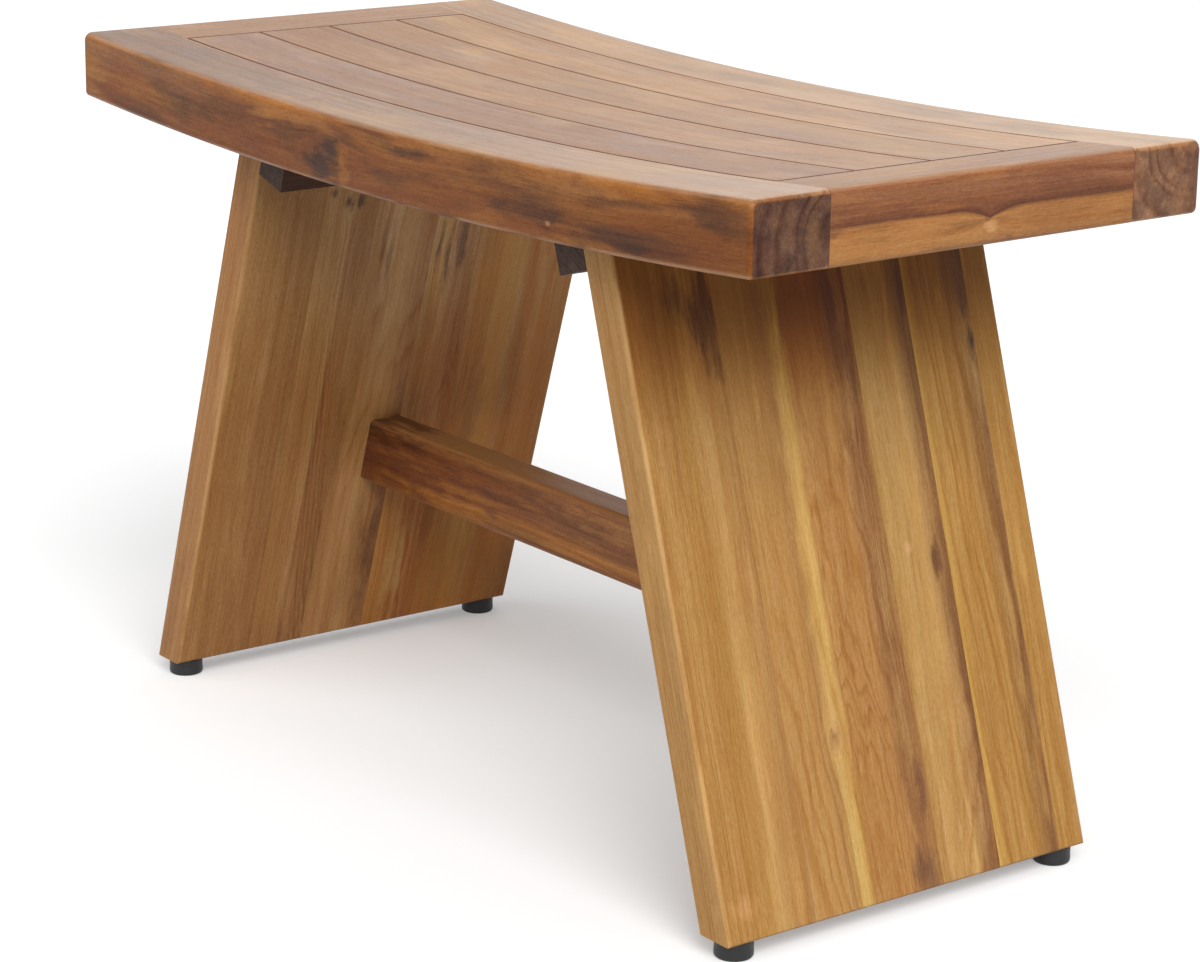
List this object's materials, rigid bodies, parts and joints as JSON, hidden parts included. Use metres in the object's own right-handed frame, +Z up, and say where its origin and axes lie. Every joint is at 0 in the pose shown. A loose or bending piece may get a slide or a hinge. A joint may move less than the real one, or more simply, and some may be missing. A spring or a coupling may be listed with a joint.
{
  "type": "shower bench",
  "caption": "Teak shower bench: a dished slatted seat on two leaning slab legs tied by a low stretcher, standing on levelling feet that screw out.",
  "frame": {"origin": "on the floor, under the middle of the seat", "axes": "+X along the seat to its right end, +Y from the front to the back, +Z up"},
  "size_m": [0.72, 0.34, 0.4566],
  "materials": {
    "slat_wood": "satin oiled teak, pale pinkish tan",
    "rail_wood": "satin oiled teak, reddish brown with dark flecks",
    "end_rail_wood": "satin oiled teak, reddish brown with a golden lower band",
    "leg_wood": "satin oiled teak, golden staves of differing tones",
    "stretcher_wood": "satin oiled teak, reddish brown",
    "batten_wood": "sawn teak, unfinished",
    "cleat_wood": "dark stained hardwood, dull",
    "screw_steel": "stainless steel",
    "insert_brass": "turned brass",
    "stud_steel": "zinc-plated thread",
    "pad_plastic": "black moulded plastic"
  },
  "bodies": {
    "bench": {"front_rail": "rail_wood", "back_rail": "rail_wood", "left_end_rail": "end_rail_wood", "right_end_rail": "end_rail_wood", "slat_1": "slat_wood", "slat_2": "slat_wood", "slat_3": "slat_wood", "slat_4": "slat_wood", "left_batten": "batten_wood", "right_batten": "batten_wood", "left_leg_stave_1": "leg_wood", "left_leg_stave_2": "leg_wood", "left_leg_stave_3": "leg_wood", "left_leg_stave_4": "leg_wood", "left_leg_stave_5": "leg_wood", "left_leg_stave_6": "leg_wood", "right_leg_stave_1": "leg_wood", "right_leg_stave_2": "leg_wood", "right_leg_stave_3": "leg_wood", "right_leg_stave_4": "leg_wood", "right_leg_stave_5": "leg_wood", "right_leg_stave_6": "leg_wood", "left_cleat": "cleat_wood", "right_cleat": "cleat_wood", "stretcher": "stretcher_wood", "left_slat_screws": "screw_steel", "right_slat_screws": "screw_steel", "left_seat_screws": "screw_steel", "right_seat_screws": "screw_steel", "left_leg_screws": "screw_steel", "right_leg_screws": "screw_steel", "foot_inserts": "insert_brass"},
    "front_left_stud": {"front_left_stud": "stud_steel"},
    "front_left_pad": {"front_left_pad": "pad_plastic"},
    "front_right_stud": {"front_right_stud": "stud_steel"},
    "front_right_pad": {"front_right_pad": "pad_plastic"},
    "back_left_stud": {"back_left_stud": "stud_steel"},
    "back_left_pad": {"back_left_pad": "pad_plastic"},
    "back_right_stud": {"back_right_stud": "stud_steel"},
    "back_right_pad": {"back_right_pad": "pad_plastic"}
  },
  "joints": [
    {"name": "front_left_travel", "type": "slide", "parent": "bench", "child": "front_left_stud", "axis": [0, 0, -1], "range_m": [0, 0.00801]},
    {"name": "front_left_turn", "type": "hinge", "parent": "front_left_stud", "child": "front_left_pad", "pos_m": [-0.31, -0.1275, 0.006], "axis": [0, 0, -1], "range_deg": [0, 2880]},
    {"name": "front_right_travel", "type": "slide", "parent": "bench", "child": "front_right_stud", "axis": [0, 0, -1], "range_m": [0, 0.00801]},
    {"name": "front_right_turn", "type": "hinge", "parent": "front_right_stud", "child": "front_right_pad", "pos_m": [0.31, -0.1275, 0.006], "axis": [0, 0, -1], "range_deg": [0, 2880]},
    {"name": "back_left_travel", "type": "slide", "parent": "bench", "child": "back_left_stud", "axis": [0, 0, -1], "range_m": [0, 0.00801]},
    {"name": "back_left_turn", "type": "hinge", "parent": "back_left_stud", "child": "back_left_pad", "pos_m": [-0.31, 0.1275, 0.006], "axis": [0, 0, -1], "range_deg": [0, 2880]},
    {"name": "back_right_travel", "type": "slide", "parent": "bench", "child": "back_right_stud", "axis": [0, 0, -1], "range_m": [0, 0.00801]},
    {"name": "back_right_turn", "type": "hinge", "parent": "back_right_stud", "child": "back_right_pad", "pos_m": [0.31, 0.1275, 0.006], "axis": [0, 0, -1], "range_deg": [0, 2880]}
  ],
  "couplings": [
    {"joint": "front_left_travel", "follows": "front_left_turn", "m_per_rad": 0.00015915},
    {"joint": "front_right_travel", "follows": "front_right_turn", "m_per_rad": 0.00015915},
    {"joint": "back_left_travel", "follows": "back_left_turn", "m_per_rad": 0.00015915},
    {"joint": "back_right_travel", "follows": "back_right_turn", "m_per_rad": 0.00015915}
  ]
}
